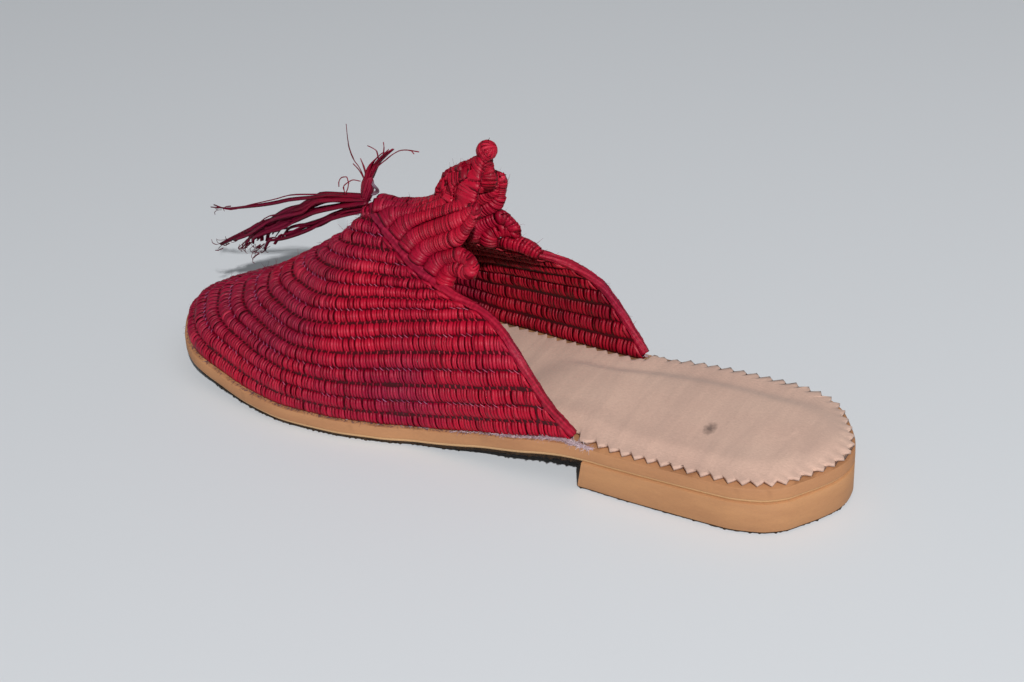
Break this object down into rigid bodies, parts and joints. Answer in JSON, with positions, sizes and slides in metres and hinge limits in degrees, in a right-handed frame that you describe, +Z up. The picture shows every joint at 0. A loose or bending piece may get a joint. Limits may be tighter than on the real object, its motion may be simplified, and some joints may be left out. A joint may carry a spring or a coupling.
{
  "type": "babouche slipper",
  "caption": "Backless raffia slipper for the right foot: rows of wrapped raffia, tall notched tongue, tassel on the peak, padded insole, flat leather sole with a low heel.",
  "frame": {"origin": "on the floor under the heel, on the flat rest face of the heel's tread, 36.5 mm ahead of the back of the heel", "axes": "+Y points to the toe, +Z is up, -X is the inner side of the foot"},
  "size_m": [0.0904, 0.259, 0.1061],
  "materials": {
    "raffia": "dyed raffia, a soft sheen on the strands",
    "raffia_edge": "dyed raffia, darker at the edge",
    "sole_leather": "cut leather edge, matt",
    "heel_leather": "cut leather edge, matt",
    "tread_rubber": "matt",
    "insole_suede": "suede"
  },
  "bodies": {
    "root": {"outsole": "sole_leather", "tread": "tread_rubber", "heel_block": "heel_leather", "heel_tread": "tread_rubber", "insole": "insole_suede", "upper": "raffia", "binding_inner_side": "raffia_edge", "binding_outer_side": "raffia_edge", "tongue": "raffia", "tassel": "raffia"}
  },
  "joints": []
}
